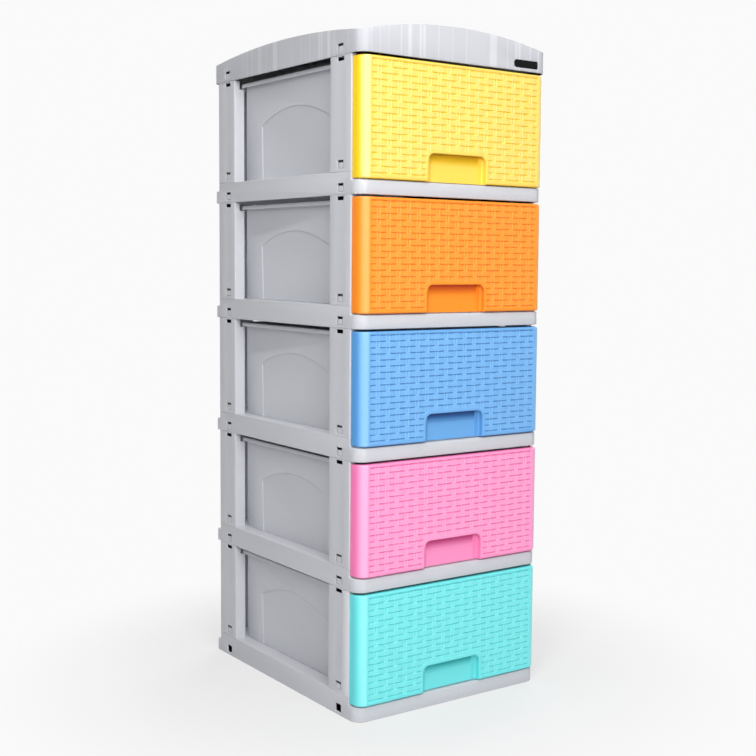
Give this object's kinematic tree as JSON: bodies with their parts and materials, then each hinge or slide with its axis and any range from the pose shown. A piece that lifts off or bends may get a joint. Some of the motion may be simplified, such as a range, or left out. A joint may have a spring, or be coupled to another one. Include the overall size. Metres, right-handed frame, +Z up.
{
  "type": "plastic drawer tower",
  "caption": "Tall open-sided plastic tower of stacked decks on corner posts, with sliding drawers, woven-look coloured fronts, hand pulls and a domed lid.",
  "frame": {"origin": "centre of the box that bounds the tower, on the surface it stands on", "axes": "+Z up, -Y towards the person who opens the drawers, +X to that person's right"},
  "size_m": [0.3216, 0.405, 0.9509],
  "materials": {
    "frame_plastic": "satin moulded grey",
    "tub_plastic": "satin moulded grey",
    "yellow_plastic": "satin moulded yellow",
    "orange_plastic": "satin moulded orange",
    "blue_plastic": "satin moulded blue",
    "pink_plastic": "satin moulded pink",
    "aqua_plastic": "satin moulded aqua",
    "badge_plastic": "gloss black"
  },
  "bodies": {
    "frame": {"base_deck": "frame_plastic", "middle_deck_1": "frame_plastic", "middle_deck_2": "frame_plastic", "middle_deck_3": "frame_plastic", "middle_deck_4": "frame_plastic", "post_front_left_1": "frame_plastic", "post_front_left_2": "frame_plastic", "post_front_left_3": "frame_plastic", "post_front_left_4": "frame_plastic", "post_front_left_5": "frame_plastic", "post_front_right_1": "frame_plastic", "post_front_right_2": "frame_plastic", "post_front_right_3": "frame_plastic", "post_front_right_4": "frame_plastic", "post_front_right_5": "frame_plastic", "post_rear_left_1": "frame_plastic", "post_rear_left_2": "frame_plastic", "post_rear_left_3": "frame_plastic", "post_rear_left_4": "frame_plastic", "post_rear_left_5": "frame_plastic", "post_rear_right_1": "frame_plastic", "post_rear_right_2": "frame_plastic", "post_rear_right_3": "frame_plastic", "post_rear_right_4": "frame_plastic", "post_rear_right_5": "frame_plastic", "lid": "frame_plastic", "badge_plate": "badge_plastic"},
    "drawer_1": {"drawer_tub_1": "tub_plastic", "drawer_front_1": "aqua_plastic"},
    "drawer_2": {"drawer_tub_2": "tub_plastic", "drawer_front_2": "pink_plastic"},
    "drawer_3": {"drawer_tub_3": "tub_plastic", "drawer_front_3": "blue_plastic"},
    "drawer_4": {"drawer_tub_4": "tub_plastic", "drawer_front_4": "orange_plastic"},
    "drawer_5": {"drawer_tub_5": "tub_plastic", "drawer_front_5": "yellow_plastic"}
  },
  "joints": [
    {"name": "drawer_1_slide", "type": "slide", "parent": "frame", "child": "drawer_1", "axis": [0, -1, 0], "range_m": [0, 0.27]},
    {"name": "drawer_2_slide", "type": "slide", "parent": "frame", "child": "drawer_2", "axis": [0, -1, 0], "range_m": [0, 0.27]},
    {"name": "drawer_3_slide", "type": "slide", "parent": "frame", "child": "drawer_3", "axis": [0, -1, 0], "range_m": [0, 0.27]},
    {"name": "drawer_4_slide", "type": "slide", "parent": "frame", "child": "drawer_4", "axis": [0, -1, 0], "range_m": [0, 0.27]},
    {"name": "drawer_5_slide", "type": "slide", "parent": "frame", "child": "drawer_5", "axis": [0, -1, 0], "range_m": [0, 0.27]}
  ]
}
